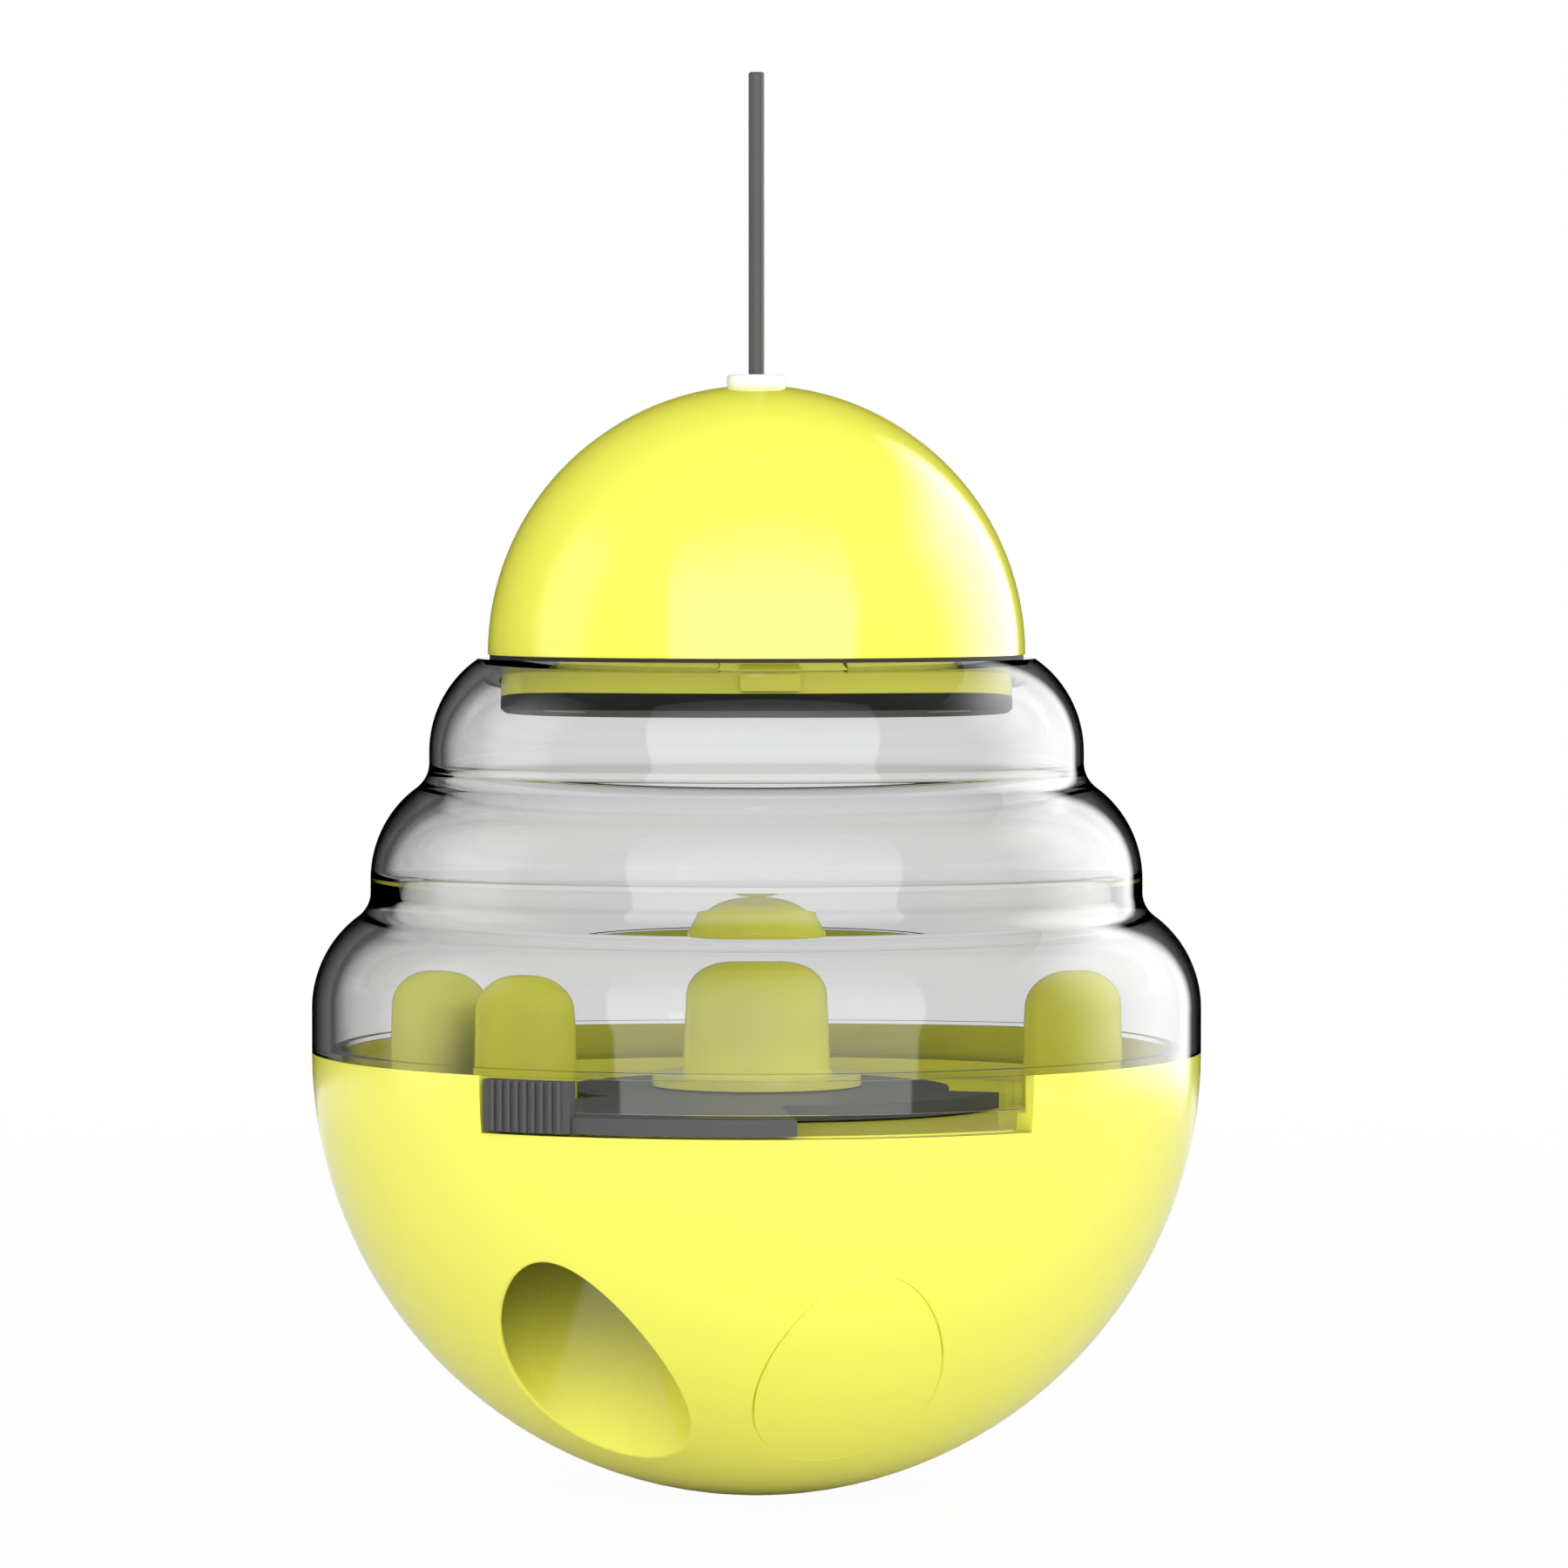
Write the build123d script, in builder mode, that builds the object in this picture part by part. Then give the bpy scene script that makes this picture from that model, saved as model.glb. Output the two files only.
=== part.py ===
"""Weighted tumbler that drops cat treats, with a stepped clear cover and a turning gate.

The toy stands on the small flat under its bowl, at the origin, with +Z up.
Its front, with the thumb tab and the treat outlet, faces -Y.
Lengths are in millimetres and angles in degrees.
A place called a turn is an angle about Z from the front, counted towards +X.
"""

import os
from math import acos, asin, atan2, cos, degrees, radians, sin, sqrt

from build123d import *

# Overall form
bowl_radius = 45.0
foot_radius = 5.0
dome_radius = 27.2

# Tiers of the clear cover, from the lowest up
tier_wall_heights = (4.34, 1.3, 1.1)
shoulder_radius = 11.6
valley_radius = 3.0
inner_valley_radius = 0.8
lip_brim = 1.05
lip_width = 1.0
lip_thickness = 1.4

# Walls
bowl_wall = 2.4
cover_wall = 1.4
dome_wall = 2.0

# Clearances
lift_gap = 0.3
run_gap = 0.3
gate_play = 0.2
journal_gap = 0.06
press_gap = 0.03
screw_gap = 0.05
overrun = 2.0
level_margin = 0.01

# Joint between cover and bowl
rim_lip = 1.3
skirt_depth = 3.4
skirt_wall = 1.4
step_height = 2.0

# Gate: fan plate with a lobe, arm and ribbed thumb tab
gate_thickness = 1.6
gate_disc_radius = 19.5
gate_lobe_radius = 25.5
gate_start_angle = -48.0
gate_lobe_end_angle = 72.0
gate_corner_radius = 1.5
gate_travel_angle = 31.0
tab_start_angle = -36.0
tab_end_angle = -23.5
arm_end_angle = 5.0
arm_recess = 0.2
end_clear_angle = 0.6
rib_count = 9
rib_radius = 0.32
rib_span_share = 0.76

# Middle peg
journal_radius = 8.0
flange_radius = 10.6
flange_thickness = 1.2
peg_base_radius = 7.5
peg_top_above_rim = 10.8
peg_nose_radius = 4.8
peg_root_radius = 0.6
peg_draft = 2.5
spigot_radius = 4.0

# Tray and its outer pegs
floor_thickness = 1.8
ledge_width = 2.5
ledge_height = 2.0
outer_peg_radius = 5.2
outer_peg_above_rim = 8.7
outer_peg_nose_radius = 4.3
outer_peg_draft = 1.5
outer_peg_wall = 1.5
outer_peg_inset = 4.7
outlet_peg_margin = 0.7
side_peg_angle = 90.0
outlet_peg_angle = -65.0

# Treat outlet and the blank beside it
chute_radius = 9.2
chute_wall = 1.4
chute_land = 1.0
chute_angle = -30.0
outlet_lip_radius = 0.3
outlet_gap = 3.6
blank_flange_width = 1.4
blank_flange_thickness = 1.4
blank_edge_chamfer = 0.25

# Counterweight and its clamp
weight_side_height = 7.0
weight_clear = 0.9
weight_edge_chamfer = 0.8
post_radius = 3.6
clamp_radius = 12.0
clamp_thickness = 1.6
clamp_edge_radius = 0.5

# Screws
screw_count = 3
screw_radius = 1.1
screw_head_radius = 2.2
screw_head_height = 0.9
screw_bite = 6.0
boss_radius = 3.0
tray_screw_inset = 4.2
cap_screw_angle = 60.0
washer_screw_radius = 1.5
washer_screw_head_radius = 5.5
washer_screw_head_height = 1.8
washer_screw_length = 9.0

# Cap: seal, neck with lugs, base plate
seal_thickness = 0.4
seal_inset = 0.2
neck_wall = 2.4
neck_spigot_height = 3.0
lug_count = 3
lug_reach = 1.0
lug_height = 1.4
lug_head_gap = 0.1
lug_foot = 0.2
lug_angle = 2.9
lug_span_angle = 12.5
slot_angle = 5.5
slot_span_angle = 26.5
base_thickness = 1.6
base_edge_chamfer = 0.4

# Teaser rod and its socket
rod_radius = 0.8
rod_root_radius = 0.55
rod_free_length = 30.5
rod_tip_chamfer = 0.15
socket_flange_radius = 3.0
socket_flange_height = 1.2
socket_barrel_radius = 1.9
socket_barrel_length = 9.0
socket_edge_radius = 0.4
socket_floor = 1.0
crown_margin = 0.1
crown_pad_radius = 4.6
crown_pad_height = 0.9
clip_radius = 3.6
clip_thickness = 0.6

# Angles of the drawing planes
quarter_turn = 90.0
half_turn = 180.0
full_turn = 360.0


def front_angle(turn):
    """Angle from +X of a turn from the front."""
    return turn - quarter_turn


def place(pitch_radius, turn):
    """Point at a radius from the axis and a turn from the front."""
    angle = radians(front_angle(turn))
    return (pitch_radius * cos(angle), pitch_radius * sin(angle))


def reach(sphere_radius, drop):
    """Radius of a sphere's section at a drop below its centre."""
    return sqrt(sphere_radius**2 - drop**2)


# Levels, from the foot up
rim_z = reach(bowl_radius, foot_radius)
bowl_inner_radius = bowl_radius - bowl_wall
gate_top_z = rim_z - skirt_depth - run_gap
gate_bottom_z = gate_top_z - gate_thickness
notch_floor_z = gate_bottom_z - run_gap
floor_z = gate_bottom_z - gate_play
tray_bottom_z = floor_z - floor_thickness
ledge_bottom_z = tray_bottom_z - ledge_height
flange_bottom_z = gate_top_z + gate_play
flange_top_z = flange_bottom_z + flange_thickness

# Radii that follow from the fits
rabbet_radius = bowl_radius - rim_lip
skirt_radius = rabbet_radius - lift_gap
skirt_inner_radius = skirt_radius - skirt_wall
tray_radius = reach(bowl_inner_radius, rim_z - tray_bottom_z) - lift_gap
ledge_inner_radius = tray_radius - ledge_width
fan_radius = reach(bowl_inner_radius, rim_z - gate_bottom_z) - run_gap
arm_radius = reach(bowl_radius, rim_z - gate_bottom_z) - arm_recess
tab_inner_radius = skirt_radius + run_gap
chute_pitch = tray_radius - chute_land - chute_radius
weight_radius = chute_pitch - chute_radius - chute_wall - weight_clear
tray_screw_pitch = tray_radius - tray_screw_inset
side_peg_pitch = skirt_inner_radius - outer_peg_inset - outer_peg_radius
outlet_peg_pitch = gate_disc_radius + outlet_peg_margin + outer_peg_radius

# Cover levels and radii
tier_step = (bowl_radius - dome_radius) / len(tier_wall_heights)
tier_radii = [bowl_radius - tier * tier_step for tier in range(len(tier_wall_heights))]
valley_reach = shoulder_radius + valley_radius
shoulder_rise = reach(valley_reach, valley_reach - tier_step)
shoulder_z = [
    rim_z + sum(tier_wall_heights[:tier + 1]) + tier * shoulder_rise
    for tier in range(len(tier_wall_heights))
]
lip_radius = dome_radius + lip_brim
lip_z = shoulder_z[-1] + reach(shoulder_radius, shoulder_radius - tier_radii[-1] + lip_radius)
lip_bottom_z = lip_z - lip_thickness
lip_bottom_reach = reach(shoulder_radius - cover_wall, lip_bottom_z - shoulder_z[-1])
lip_bottom_radius = tier_radii[-1] - shoulder_radius + lip_bottom_reach
mouth_radius = dome_radius - lip_width

# Cap levels and radii
dome_base_z = lip_z + seal_thickness
dome_inner_radius = dome_radius - dome_wall
crown_radius = socket_flange_radius + crown_margin
crown_z = dome_base_z + reach(dome_radius, crown_radius)
crown_pad_z = dome_base_z + dome_inner_radius - crown_pad_height
neck_radius = mouth_radius - lift_gap
neck_inner_radius = neck_radius - neck_wall
neck_spigot_radius = reach(dome_inner_radius, neck_spigot_height) - press_gap
neck_top_z = dome_base_z + neck_spigot_height
lug_radius = neck_radius + lug_reach
lug_top_z = lip_bottom_z - lug_head_gap
neck_bottom_z = lug_top_z - lug_height - lug_foot
base_bottom_z = neck_bottom_z - base_thickness
cap_screw_pitch = neck_inner_radius - boss_radius / 2
socket_top_z = crown_z + socket_flange_height
socket_bottom_z = crown_z - socket_barrel_length

# Counterweight levels
weight_sphere_radius = bowl_inner_radius - press_gap
weight_side_z = rim_z - reach(weight_sphere_radius, weight_radius)
weight_top_z = weight_side_z + weight_side_height
post_top_z = weight_top_z - lift_gap
clamp_top_z = weight_top_z + clamp_thickness

# Turns that follow from the outlets: the tray's screws stand clear of both
outlet_spacing = chute_radius * 2 + chute_wall + blank_flange_width + outlet_gap
outlet_span_angle = degrees(asin(outlet_spacing / 2 / chute_pitch)) * 2
blank_angle = chute_angle + outlet_span_angle
tray_screw_angle = chute_angle + outlet_span_angle / 2 + full_turn / screw_count / 2

pilot_radius = screw_radius + screw_gap
washer_pilot_radius = washer_screw_radius + screw_gap
chute_place = place(chute_pitch, chute_angle)
blank_place = place(chute_pitch, blank_angle)
peg_places = [
    place(side_peg_pitch, -side_peg_angle),
    place(side_peg_pitch, side_peg_angle),
    place(outlet_peg_pitch, outlet_peg_angle),
]


def ring_sector(inner_radius, outer_radius, start_turn, end_turn):
    """Outline between two radii and two turns."""
    span = end_turn - start_turn
    with BuildLine() as outline:
        outer_arc = CenterArc((0, 0), outer_radius, front_angle(start_turn), span)
        inner_arc = CenterArc((0, 0), inner_radius, front_angle(start_turn), span)
        Line(outer_arc @ 0, inner_arc @ 0)
        Line(outer_arc @ 1, inner_arc @ 1)
    return outline.line.edges()


def dome_half(radius, centre_z, end_angle):
    """Half section of a solid that a sphere bounds, from its rim to end_angle."""
    with BuildLine() as outline:
        arc = CenterArc((0, centre_z), radius, 0, end_angle)
        Polyline(arc @ 1, (0, (arc @ 1).Y), (0, centre_z), arc @ 0)
    return outline.line.edges()


def tier_wall(inset, bend_radius, foot_z, top_z):
    """Line up the three tiers, set in by inset, with a bend in each valley."""
    swell_radius = shoulder_radius - inset
    bend_reach = swell_radius + bend_radius
    bend_turn = degrees(acos(1 - tier_step / bend_reach))
    with BuildLine() as outline:
        start_z = foot_z
        for radius, level in zip(tier_radii, shoulder_z):
            wall_radius = radius - inset
            swell_centre = (radius - shoulder_radius, level)
            Line((wall_radius, start_z), (wall_radius, level))
            if radius == tier_radii[-1]:
                CenterArc(swell_centre, swell_radius, 0, degrees(asin((top_z - level) / swell_radius)))
            else:
                start_z = level + reach(bend_reach, bend_reach - tier_step)
                bend_centre = (wall_radius - tier_step + bend_radius, start_z)
                CenterArc(swell_centre, swell_radius, 0, bend_turn)
                CenterArc(bend_centre, bend_radius, half_turn + bend_turn, -bend_turn)
    return outline.line


def level_circles(builder, level):
    """Circular edges that lie at a height."""
    circles = builder.edges().filter_by(GeomType.CIRCLE)
    return circles.filter_by_position(Axis.Z, level - level_margin, level + level_margin)


os.makedirs("parts", exist_ok=True)

# Space inside the bowl, less the ledge, chute, bosses and middle post that stand in it
with BuildPart() as bowl_cavity:
    with BuildSketch(Plane.XZ):
        make_face(dome_half(bowl_inner_radius, rim_z, -quarter_turn))
    revolve(axis=Axis.Z)
    with BuildSketch(Plane.XY.offset(tray_bottom_z)):
        Circle(bowl_radius)
        Circle(ledge_inner_radius, mode=Mode.SUBTRACT)
    extrude(amount=-ledge_height, mode=Mode.SUBTRACT)
    with BuildSketch(Plane.XY.offset(tray_bottom_z)):
        with Locations(chute_place):
            Circle(chute_radius + chute_wall)
        with PolarLocations(tray_screw_pitch, screw_count, front_angle(tray_screw_angle)):
            Circle(boss_radius)
    extrude(amount=-tray_bottom_z, mode=Mode.SUBTRACT)
    with BuildSketch(Plane.XY.offset(post_top_z)):
        Circle(post_radius)
    extrude(amount=-post_top_z, mode=Mode.SUBTRACT)

# Lower bowl
with BuildPart() as lower_bowl:
    with BuildSketch(Plane.XZ):
        make_face(dome_half(bowl_radius, rim_z, -degrees(atan2(rim_z, foot_radius))))
    revolve(axis=Axis.Z)
    add(bowl_cavity.part, mode=Mode.SUBTRACT)
    with BuildSketch(Plane.XY.offset(rim_z)):
        Circle(rabbet_radius)
    extrude(amount=-skirt_depth - run_gap, mode=Mode.SUBTRACT)
    with BuildSketch(Plane.XY.offset(notch_floor_z)):
        make_face(
            ring_sector(
                tray_radius,
                bowl_radius + overrun,
                tab_start_angle - end_clear_angle,
                arm_end_angle + gate_travel_angle + end_clear_angle,
            )
        )
    extrude(amount=rim_z - notch_floor_z + overrun, mode=Mode.SUBTRACT)
    with BuildSketch(Plane.XY.offset(tray_bottom_z)):
        with PolarLocations(tray_screw_pitch, screw_count, front_angle(tray_screw_angle)):
            Circle(pilot_radius)
    extrude(amount=-screw_bite - overrun, mode=Mode.SUBTRACT)
    with BuildSketch(Plane.XY.offset(clamp_top_z)):
        Circle(washer_pilot_radius)
    extrude(amount=-washer_screw_length - screw_gap, mode=Mode.SUBTRACT)
    with BuildSketch(Plane.XY.offset(ledge_bottom_z)):
        with Locations(blank_place):
            Circle(chute_radius)
    extrude(amount=-ledge_bottom_z - overrun, mode=Mode.SUBTRACT)
    chamfer(lower_bowl.edges(Select.LAST).sort_by(Axis.Z)[0], blank_edge_chamfer)
    with BuildSketch(Plane.XY.offset(tray_bottom_z)):
        with Locations(chute_place):
            Circle(chute_radius)
    extrude(amount=-tray_bottom_z - overrun, mode=Mode.SUBTRACT)
    fillet(lower_bowl.edges(Select.LAST).sort_by(Axis.Z)[0], outlet_lip_radius)
lower_bowl.part.label = "lower_bowl"
export_step(lower_bowl.part, "parts/lower_bowl.step")

# Flush blank in the second outlet, with a flange against the bowl's inside
with BuildPart() as outlet_blank:
    blank_height = ledge_bottom_z - lift_gap
    with BuildSketch():
        with Locations(blank_place):
            Circle(chute_radius + blank_flange_width)
    extrude(amount=blank_height)
    with Locations((0, 0, rim_z)):
        Sphere(bowl_inner_radius, mode=Mode.INTERSECT)
    with BuildSketch():
        with Locations(blank_place):
            Circle(chute_radius - press_gap)
    extrude(amount=blank_height)
    with Locations((0, 0, rim_z)):
        Sphere(bowl_radius, mode=Mode.INTERSECT)
        Sphere(bowl_inner_radius - blank_flange_thickness, mode=Mode.SUBTRACT)
    chamfer(outlet_blank.edges().sort_by(Axis.Z)[0], blank_edge_chamfer)
outlet_blank.part.label = "outlet_blank"
export_step(outlet_blank.part, "parts/outlet_blank.step")

# Tray with the three outer pegs, cored from below
with BuildPart() as feed_tray:
    outer_peg_height = rim_z + outer_peg_above_rim - floor_z
    with BuildSketch(Plane.XY.offset(tray_bottom_z)):
        Circle(tray_radius)
    extrude(amount=floor_thickness)
    with BuildSketch(Plane.XY.offset(floor_z)):
        with Locations(*peg_places):
            Circle(outer_peg_radius)
    extrude(amount=outer_peg_height, taper=outer_peg_draft)
    fillet(feed_tray.edges().group_by(Axis.Z)[-1], outer_peg_nose_radius)
    with BuildSketch(Plane.XY.offset(tray_bottom_z)):
        with Locations(*peg_places):
            Circle(outer_peg_radius - outer_peg_wall)
    extrude(
        amount=floor_thickness + outer_peg_height - outer_peg_nose_radius,
        taper=outer_peg_draft,
        mode=Mode.SUBTRACT,
    )
    with BuildSketch(Plane.XY.offset(floor_z)):
        with PolarLocations(tray_screw_pitch, screw_count, front_angle(tray_screw_angle)):
            Circle(screw_head_radius + lift_gap)
    extrude(amount=-screw_head_height, mode=Mode.SUBTRACT)
    with BuildSketch(Plane.XY.offset(tray_bottom_z)):
        Circle(spigot_radius + press_gap)
        with Locations(chute_place):
            Circle(chute_radius)
        with PolarLocations(tray_screw_pitch, screw_count, front_angle(tray_screw_angle)):
            Circle(pilot_radius)
    extrude(amount=floor_thickness, mode=Mode.SUBTRACT)
feed_tray.part.label = "feed_tray"
export_step(feed_tray.part, "parts/feed_tray.step")

# Screws of the tray, with their heads sunk in its floor
with BuildPart() as tray_screws:
    tray_screw_seat_z = floor_z - screw_head_height
    with BuildSketch(Plane.XY.offset(tray_screw_seat_z)):
        with PolarLocations(tray_screw_pitch, screw_count, front_angle(tray_screw_angle)):
            Circle(screw_head_radius)
    extrude(amount=screw_head_height)
    with BuildSketch(Plane.XY.offset(tray_screw_seat_z)):
        with PolarLocations(tray_screw_pitch, screw_count, front_angle(tray_screw_angle)):
            Circle(screw_radius)
    extrude(amount=-(tray_screw_seat_z - tray_bottom_z) - screw_bite)
tray_screws.part.label = "tray_screws"
export_step(tray_screws.part, "parts/tray_screws.step")

# Middle peg: bearing for the gate, flange above it and a spigot in the tray
with BuildPart() as center_peg:
    with BuildSketch(Plane.XY.offset(floor_z)):
        Circle(journal_radius)
    extrude(amount=flange_bottom_z - floor_z)
    with BuildSketch(Plane.XY.offset(flange_bottom_z)):
        Circle(flange_radius)
    extrude(amount=flange_thickness)
    with BuildSketch(Plane.XY.offset(flange_top_z)):
        Circle(peg_base_radius)
    extrude(amount=rim_z + peg_top_above_rim - flange_top_z, taper=peg_draft)
    fillet(center_peg.edges().group_by(Axis.Z)[-1], peg_nose_radius)
    peg_root = level_circles(center_peg, flange_top_z)
    fillet(peg_root.sort_by(SortBy.RADIUS)[0], peg_root_radius)
    with BuildSketch(Plane.XY.offset(floor_z)):
        Circle(spigot_radius)
    extrude(amount=-floor_thickness)
    with BuildSketch(Plane.XY.offset(tray_bottom_z)):
        Circle(washer_pilot_radius)
    extrude(amount=washer_screw_length + screw_gap, mode=Mode.SUBTRACT)
center_peg.part.label = "center_peg"
export_step(center_peg.part, "parts/center_peg.step")

# Screw that holds the middle peg, from under the tray
with BuildPart() as hub_screw:
    with BuildSketch(Plane.XY.offset(tray_bottom_z)):
        Circle(washer_screw_head_radius)
    extrude(amount=-washer_screw_head_height)
    fillet(hub_screw.edges().group_by(Axis.Z)[0], washer_screw_head_height / 2)
    with BuildSketch(Plane.XY.offset(tray_bottom_z)):
        Circle(washer_screw_radius)
    extrude(amount=washer_screw_length)
hub_screw.part.label = "hub_screw"
export_step(hub_screw.part, "parts/hub_screw.step")

# Gate: fan plate and lobe round the middle peg, arm in the rim notch and ribbed thumb tab
with BuildPart() as gate_slider:
    with BuildSketch(Plane.XY.offset(gate_bottom_z)) as gate_plan:
        make_face(ring_sector(journal_radius, fan_radius, gate_start_angle, arm_end_angle))
        fillet(gate_plan.vertices().group_by(SortBy.DISTANCE)[-1], gate_corner_radius)
        Circle(gate_disc_radius)
        make_face(ring_sector(journal_radius, gate_lobe_radius, gate_start_angle, gate_lobe_end_angle))
        make_face(ring_sector(gate_disc_radius, arm_radius, tab_start_angle, arm_end_angle))
        Circle(journal_radius + journal_gap, mode=Mode.SUBTRACT)
    extrude(amount=gate_thickness)
    with BuildSketch(Plane.XY.offset(gate_bottom_z)):
        make_face(ring_sector(tab_inner_radius, bowl_radius, tab_start_angle, tab_end_angle))
        rib_span = (tab_end_angle - tab_start_angle) * rib_span_share
        rib_start = (tab_start_angle + tab_end_angle - rib_span) / 2
        with PolarLocations(
            bowl_radius, rib_count, front_angle(rib_start), rib_span, endpoint=True
        ):
            Circle(rib_radius)
    extrude(amount=rim_z - run_gap - gate_bottom_z)
gate_slider.part.label = "gate_slider"
export_step(gate_slider.part, "parts/gate_slider.step")

# Counterweight round the bowl's middle post, with a rounded base that follows the bowl
with BuildPart() as counterweight:
    with BuildSketch(Plane.XY):
        Circle(weight_radius)
        Circle(post_radius + lift_gap, mode=Mode.SUBTRACT)
    extrude(amount=weight_top_z)
    with Locations((0, 0, rim_z)):
        Sphere(weight_sphere_radius, mode=Mode.INTERSECT)
    chamfer(counterweight.edges().group_by(Axis.Z)[-1], weight_edge_chamfer)
counterweight.part.label = "counterweight"
export_step(counterweight.part, "parts/counterweight.step")

# Round clamp on the counterweight
with BuildPart() as weight_clamp:
    with BuildSketch(Plane.XY.offset(weight_top_z)):
        Circle(clamp_radius)
        Circle(washer_pilot_radius, mode=Mode.SUBTRACT)
    extrude(amount=clamp_thickness)
    top_edges = weight_clamp.edges().group_by(Axis.Z)[-1]
    fillet(top_edges.sort_by(SortBy.RADIUS)[-1], clamp_edge_radius)
weight_clamp.part.label = "weight_clamp"
export_step(weight_clamp.part, "parts/weight_clamp.step")

# Screw of the clamp, in the bowl's middle post
with BuildPart() as clamp_screw:
    with BuildSketch(Plane.XY.offset(clamp_top_z)):
        Circle(washer_screw_head_radius)
    extrude(amount=washer_screw_head_height)
    fillet(clamp_screw.edges().group_by(Axis.Z)[-1], washer_screw_head_height / 2)
    with BuildSketch(Plane.XY.offset(clamp_top_z)):
        Circle(washer_screw_radius)
    extrude(amount=-washer_screw_length)
clamp_screw.part.label = "clamp_screw"
export_step(clamp_screw.part, "parts/clamp_screw.step")

# Stepped clear cover, with a skirt in the bowl's rim and slots for the cap's lugs
with BuildPart() as clear_cover:
    skirt_bottom_z = rim_z - skirt_depth
    step_z = rim_z + step_height
    wall_inner_radius = bowl_radius - cover_wall
    with BuildSketch(Plane.XZ):
        with BuildLine():
            add(tier_wall(0, valley_radius, rim_z, lip_z))
            add(tier_wall(cover_wall, inner_valley_radius, step_z, lip_bottom_z))
            Polyline(
                (lip_radius, lip_z),
                (mouth_radius, lip_z),
                (mouth_radius, lip_bottom_z),
                (lip_bottom_radius, lip_bottom_z),
            )
            Polyline(
                (wall_inner_radius, step_z),
                (skirt_inner_radius, step_z - (wall_inner_radius - skirt_inner_radius)),
                (skirt_inner_radius, skirt_bottom_z),
                (skirt_radius, skirt_bottom_z),
                (skirt_radius, rim_z),
                (bowl_radius, rim_z),
            )
        make_face()
    revolve(axis=Axis.Z)
    with BuildSketch(Plane.XY.offset(lug_top_z)):
        for lug in range(lug_count):
            slot_middle = slot_angle + lug * full_turn / lug_count
            make_face(
                ring_sector(
                    neck_inner_radius,
                    lug_radius + lift_gap,
                    slot_middle - slot_span_angle / 2,
                    slot_middle + slot_span_angle / 2,
                )
            )
    extrude(amount=lip_z - lug_top_z + overrun, mode=Mode.SUBTRACT)
clear_cover.part.label = "clear_cover"
export_step(clear_cover.part, "parts/clear_cover.step")

# Seal between the clear lip and the dome
with BuildPart() as cap_seal:
    with BuildSketch(Plane.XY.offset(lip_z)):
        Circle(dome_radius - seal_inset)
        Circle(mouth_radius, mode=Mode.SUBTRACT)
    extrude(amount=seal_thickness)
cap_seal.part.label = "cap_seal"
export_step(cap_seal.part, "parts/cap_seal.step")

# Neck under the dome, with bayonet lugs and screw bosses
with BuildPart() as cap_neck:
    with BuildSketch(Plane.XY.offset(neck_bottom_z)):
        Circle(neck_radius)
    extrude(amount=dome_base_z - neck_bottom_z)
    with BuildSketch(Plane.XY.offset(dome_base_z)):
        Circle(neck_spigot_radius)
    extrude(amount=neck_spigot_height)
    with BuildSketch(Plane.XY.offset(neck_bottom_z)):
        Circle(neck_inner_radius)
        with PolarLocations(cap_screw_pitch, screw_count, front_angle(cap_screw_angle)):
            Circle(boss_radius, mode=Mode.SUBTRACT)
        with PolarLocations(cap_screw_pitch, screw_count, front_angle(cap_screw_angle)):
            Circle(pilot_radius)
    extrude(amount=neck_top_z - neck_bottom_z, mode=Mode.SUBTRACT)
    with BuildSketch(Plane.XY.offset(lug_top_z)):
        for lug in range(lug_count):
            lug_middle = lug_angle + lug * full_turn / lug_count
            make_face(
                ring_sector(
                    neck_inner_radius,
                    lug_radius,
                    lug_middle - lug_span_angle / 2,
                    lug_middle + lug_span_angle / 2,
                )
            )
    extrude(amount=-lug_height)
cap_neck.part.label = "cap_neck"
export_step(cap_neck.part, "parts/cap_neck.step")

# Plate that closes the neck
with BuildPart() as cap_base:
    with BuildSketch(Plane.XY.offset(base_bottom_z)):
        Circle(neck_radius)
        with PolarLocations(cap_screw_pitch, screw_count, front_angle(cap_screw_angle)):
            Circle(pilot_radius, mode=Mode.SUBTRACT)
    extrude(amount=base_thickness)
    bottom_edges = cap_base.edges().group_by(Axis.Z)[0]
    chamfer(bottom_edges.sort_by(SortBy.RADIUS)[-1], base_edge_chamfer)
    with BuildSketch(Plane.XY.offset(base_bottom_z)):
        with PolarLocations(cap_screw_pitch, screw_count, front_angle(cap_screw_angle)):
            Circle(screw_head_radius + lift_gap)
    extrude(amount=screw_head_height, mode=Mode.SUBTRACT)
cap_base.part.label = "cap_base"
export_step(cap_base.part, "parts/cap_base.step")

# Screws through base and neck into the dome
with BuildPart() as cap_screws:
    cap_screw_seat_z = base_bottom_z + screw_head_height
    with BuildSketch(Plane.XY.offset(cap_screw_seat_z)):
        with PolarLocations(cap_screw_pitch, screw_count, front_angle(cap_screw_angle)):
            Circle(screw_head_radius)
    extrude(amount=-screw_head_height)
    with BuildSketch(Plane.XY.offset(cap_screw_seat_z)):
        with PolarLocations(cap_screw_pitch, screw_count, front_angle(cap_screw_angle)):
            Circle(screw_radius)
    extrude(amount=neck_top_z + screw_bite - cap_screw_seat_z)
cap_screws.part.label = "cap_screws"
export_step(cap_screws.part, "parts/cap_screws.step")

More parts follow.
